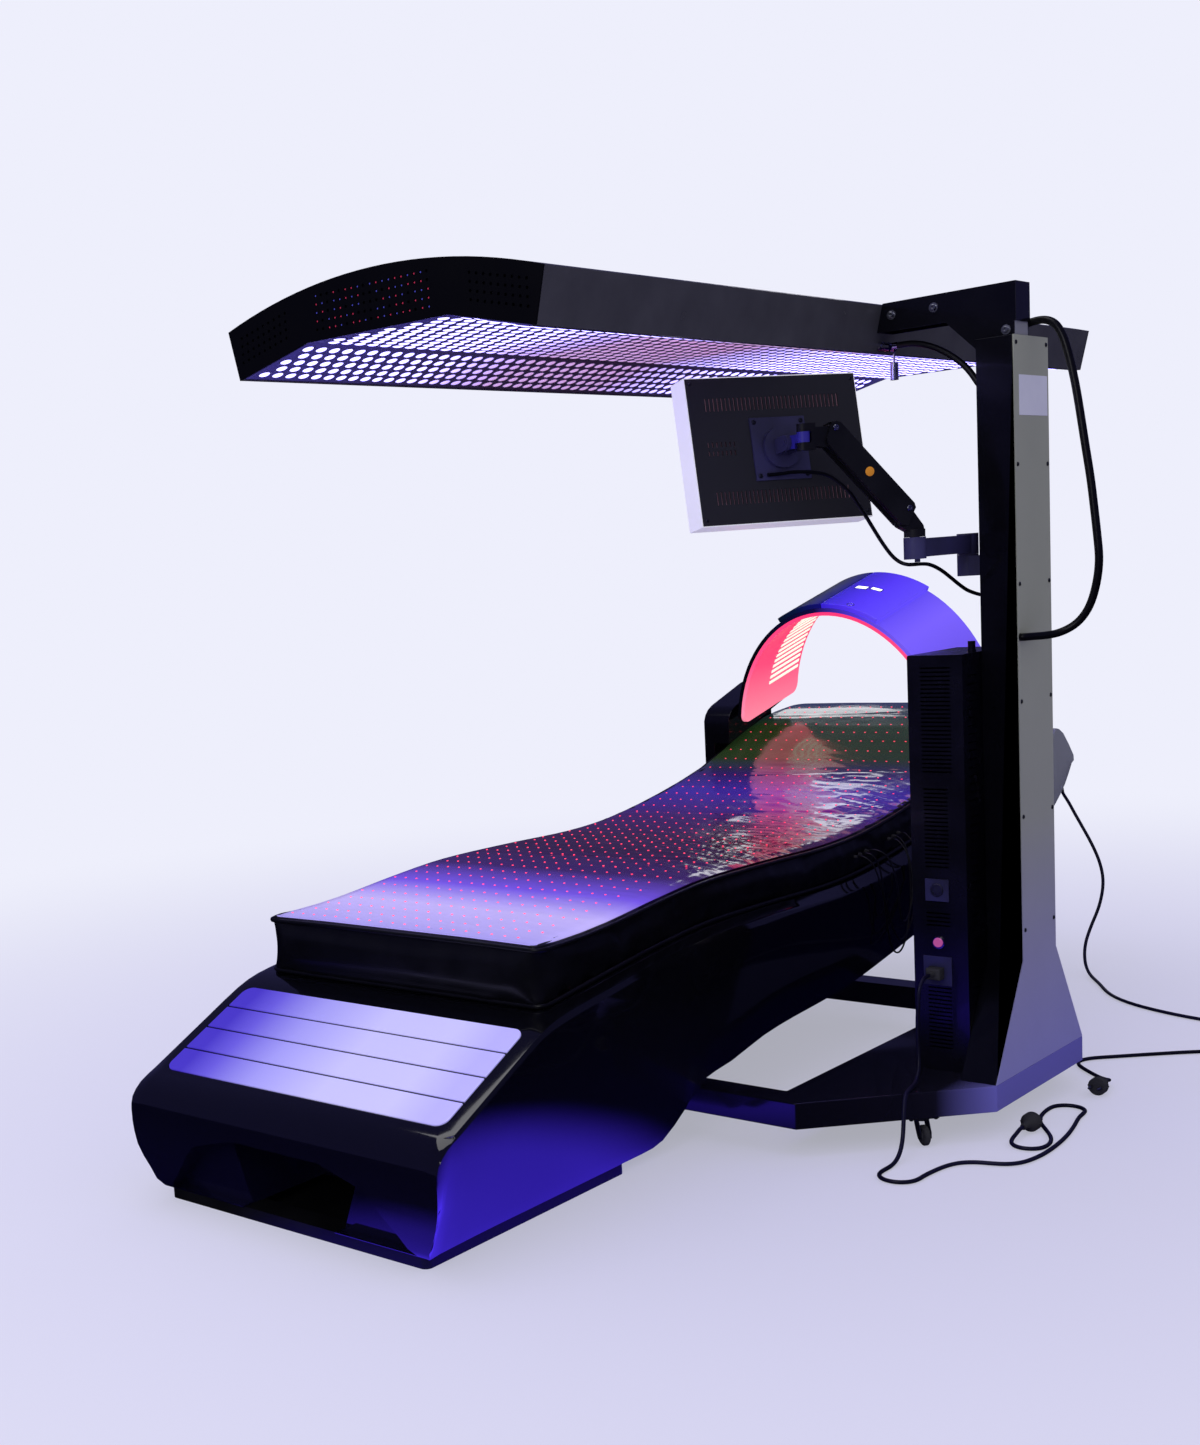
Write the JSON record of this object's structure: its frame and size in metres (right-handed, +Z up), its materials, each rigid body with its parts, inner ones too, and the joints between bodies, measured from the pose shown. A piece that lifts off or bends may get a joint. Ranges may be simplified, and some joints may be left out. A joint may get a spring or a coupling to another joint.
{
  "type": "red light therapy bed",
  "caption": "Contoured light therapy bed with a hinged arched face dome and a rolling C-base stand that carries a long overhead light canopy and a jointed light panel.",
  "frame": {"origin": "On the floor, on the bed's centre line, below the foot edge of the mattress, at the centre of the foot_base mount", "axes": "+Z up, +Y from the foot to the head, +X across the bed towards the rolling stand"},
  "size_m": [1.4791, 2.6051, 1.655],
  "materials": {
    "gloss_black_shell": "piano-black gloss lacquer",
    "matte_black": "matte black",
    "satin_aluminium": "satin, brushed along its length",
    "black_vinyl": "black vinyl, satin",
    "clear_film": "clear glossy film over a dark carrier with small red lights",
    "black_rubber": "smooth black cable jacket",
    "touch_panel": "glossy dark touch panel",
    "pink_diffuser": "translucent diffuser, lit pink",
    "steel": "plain steel",
    "black_powder_coat": "smooth black powder coat, semi-gloss",
    "grey_powder_coat": "grey powder coat, satin",
    "dark_screws": "dark zinc screws",
    "button_cap": "lit push button cap",
    "arm_grey": "dark grey-violet textured paint",
    "lens_board": "grey board with round lenses",
    "chrome_fittings": "polished connectors",
    "gloss_black_sheet": "gloss black sheet metal",
    "dark_zinc": "dark plated steel",
    "wheel_rubber": "black tread"
  },
  "bodies": {
    "bed": {"bed_shell": "gloss_black_shell", "foot_plinth": "matte_black", "foot_panel_strips": "satin_aluminium", "mattress": "black_vinyl", "led_mat": "clear_film", "rear_stand": "matte_black", "dome_brackets": "gloss_black_shell", "bed_cord_gland": "black_rubber", "mat_leads": "black_rubber", "bed_cord": "black_rubber", "bed_cord_plug": "black_rubber"},
    "dome": {"dome_shell": "gloss_black_shell", "dome_top_cover": "gloss_black_shell", "dome_control_panel": "touch_panel", "dome_diffuser": "pink_diffuser", "dome_pivot_pins": "steel"},
    "stand": {"base_frame": "black_powder_coat", "caster_plates": "steel", "column_body": "black_powder_coat", "column_cover": "grey_powder_coat", "cover_screws": "dark_screws", "controller_case": "black_powder_coat", "case_sockets": "matte_black", "button_bezel": "steel", "arm_wall_bracket": "arm_grey", "lift_actuator": "steel", "loop_cable": "black_rubber", "panel_cable_lower": "black_rubber", "controller_cord": "black_rubber", "controller_cord_ends": "black_rubber"},
    "button": {"power_button": "button_cap"},
    "canopy": {"mast": "black_powder_coat", "head_arm": "black_powder_coat", "arm_bolts": "steel", "canopy_housing": "black_powder_coat", "canopy_end_caps": "black_powder_coat", "canopy_light_panels": "lens_board", "canopy_crossbeam": "grey_powder_coat", "canopy_connectors": "chrome_fittings", "canopy_feed_cable": "black_rubber"},
    "lower_arm_body": {"lower_arm": "arm_grey", "panel_cable_upper": "black_rubber"},
    "elbow": {"arm_elbow": "arm_grey"},
    "gas_arm_body": {"gas_arm": "matte_black"},
    "gas_rod_body": {"gas_arm_rod": "arm_grey"},
    "knuckle": {"arm_knuckle": "arm_grey"},
    "yoke": {"tilt_yoke": "arm_grey"},
    "light_panel": {"vesa_head": "arm_grey", "panel_frame": "satin_aluminium", "panel_back": "gloss_black_sheet", "panel_lens": "pink_diffuser"},
    "caster_swivel_1": {"caster_fork_1": "dark_zinc"},
    "caster_roller_1": {"caster_wheel_1": "wheel_rubber"},
    "caster_swivel_2": {"caster_fork_2": "dark_zinc"},
    "caster_roller_2": {"caster_wheel_2": "wheel_rubber"},
    "caster_swivel_3": {"caster_fork_3": "dark_zinc"},
    "caster_roller_3": {"caster_wheel_3": "wheel_rubber"},
    "caster_swivel_4": {"caster_fork_4": "dark_zinc"},
    "caster_roller_4": {"caster_wheel_4": "wheel_rubber"}
  },
  "joints": [
    {"name": "stand_roll", "type": "slide", "parent": "bed", "child": "stand", "axis": [-1, 0, 0], "range_m": [0, 0.2]},
    {"name": "dome_hinge", "type": "hinge", "parent": "bed", "child": "dome", "pos_m": [0, 1.85, 0.744], "axis": [1, 0, 0], "range_deg": [-20, 25]},
    {"name": "power_push", "type": "slide", "parent": "stand", "child": "button", "axis": [0, 1, 0], "range_m": [0, 0.003], "stiffness_N_per_m": 800, "springref_m": -0.002},
    {"name": "canopy_lift", "type": "slide", "parent": "stand", "child": "canopy", "axis": [0, 0, 1], "range_m": [0, 0.2], "deforming": ["loop_cable"]},
    {"name": "arm_swivel", "type": "hinge", "parent": "stand", "child": "lower_arm_body", "pos_m": [0.708, 0.942, 1.131], "axis": [0, 0, 1], "range_deg": [-90, 15], "deforming": ["panel_cable_lower"]},
    {"name": "elbow_swivel", "type": "hinge", "parent": "lower_arm_body", "child": "elbow", "pos_m": [0.708, 0.722, 1.131], "axis": [0, 0, 1], "range_deg": [-45, 30], "deforming": ["panel_cable_upper"]},
    {"name": "arm_lift", "type": "hinge", "parent": "elbow", "child": "gas_arm_body", "pos_m": [0.6975, 0.708, 1.2045], "axis": [-0.8, 0.6, 0], "range_deg": [-40, 3]},
    {"name": "rod_pivot", "type": "hinge", "parent": "elbow", "child": "gas_rod_body", "pos_m": [0.6921, 0.7008, 1.1795], "axis": [-0.8, 0.6, 0], "range_deg": [-40, 3]},
    {"name": "knuckle_pivot", "type": "hinge", "parent": "gas_arm_body", "child": "knuckle", "pos_m": [0.6147, 0.5976, 1.3565], "axis": [-0.8, 0.6, 0], "range_deg": [-3, 40]},
    {"name": "panel_swivel", "type": "hinge", "parent": "knuckle", "child": "yoke", "pos_m": [0.582, 0.554, 1.344], "axis": [0, 0, 1], "range_deg": [-5, 60]},
    {"name": "panel_tilt", "type": "hinge", "parent": "yoke", "child": "light_panel", "pos_m": [0.54814, 0.57125, 1.338], "axis": [0.454, 0.891, 0], "range_deg": [-15, 15]},
    {"name": "caster_turn_1", "type": "hinge", "parent": "stand", "child": "caster_swivel_1", "pos_m": [0.708, 0.688, 0.05], "axis": [0, 0, 1], "continuous": true},
    {"name": "wheel_roll_1", "type": "hinge", "parent": "caster_swivel_1", "child": "caster_roller_1", "pos_m": [0.71872, 0.679, 0.02], "axis": [0.6428, 0.766, 0], "continuous": true},
    {"name": "caster_turn_2", "type": "hinge", "parent": "stand", "child": "caster_swivel_2", "pos_m": [0.708, 1.272, 0.05], "axis": [0, 0, 1], "continuous": true},
    {"name": "wheel_roll_2", "type": "hinge", "parent": "caster_swivel_2", "child": "caster_roller_2", "pos_m": [0.72116, 1.27679, 0.02], "axis": [-0.342, 0.9397, 0], "continuous": true},
    {"name": "caster_turn_3", "type": "hinge", "parent": "stand", "child": "caster_swivel_3", "pos_m": [-0.15, 0.519, 0.05], "axis": [0, 0, 1], "continuous": true},
    {"name": "wheel_roll_3", "type": "hinge", "parent": "caster_swivel_3", "child": "caster_roller_3", "pos_m": [-0.16212, 0.526, 0.02], "axis": [-0.5, -0.866, 0], "continuous": true},
    {"name": "caster_turn_4", "type": "hinge", "parent": "stand", "child": "caster_swivel_4", "pos_m": [-0.15, 1.441, 0.05], "axis": [0, 0, 1], "continuous": true},
    {"name": "wheel_roll_4", "type": "hinge", "parent": "caster_swivel_4", "child": "caster_roller_4", "pos_m": [-0.16316, 1.43621, 0.02], "axis": [0.342, -0.9397, 0], "continuous": true}
  ],
  "couplings": [
    {"joint": "rod_pivot", "follows": "arm_lift", "ratio": 1},
    {"joint": "knuckle_pivot", "follows": "arm_lift", "ratio": -1}
  ]
}
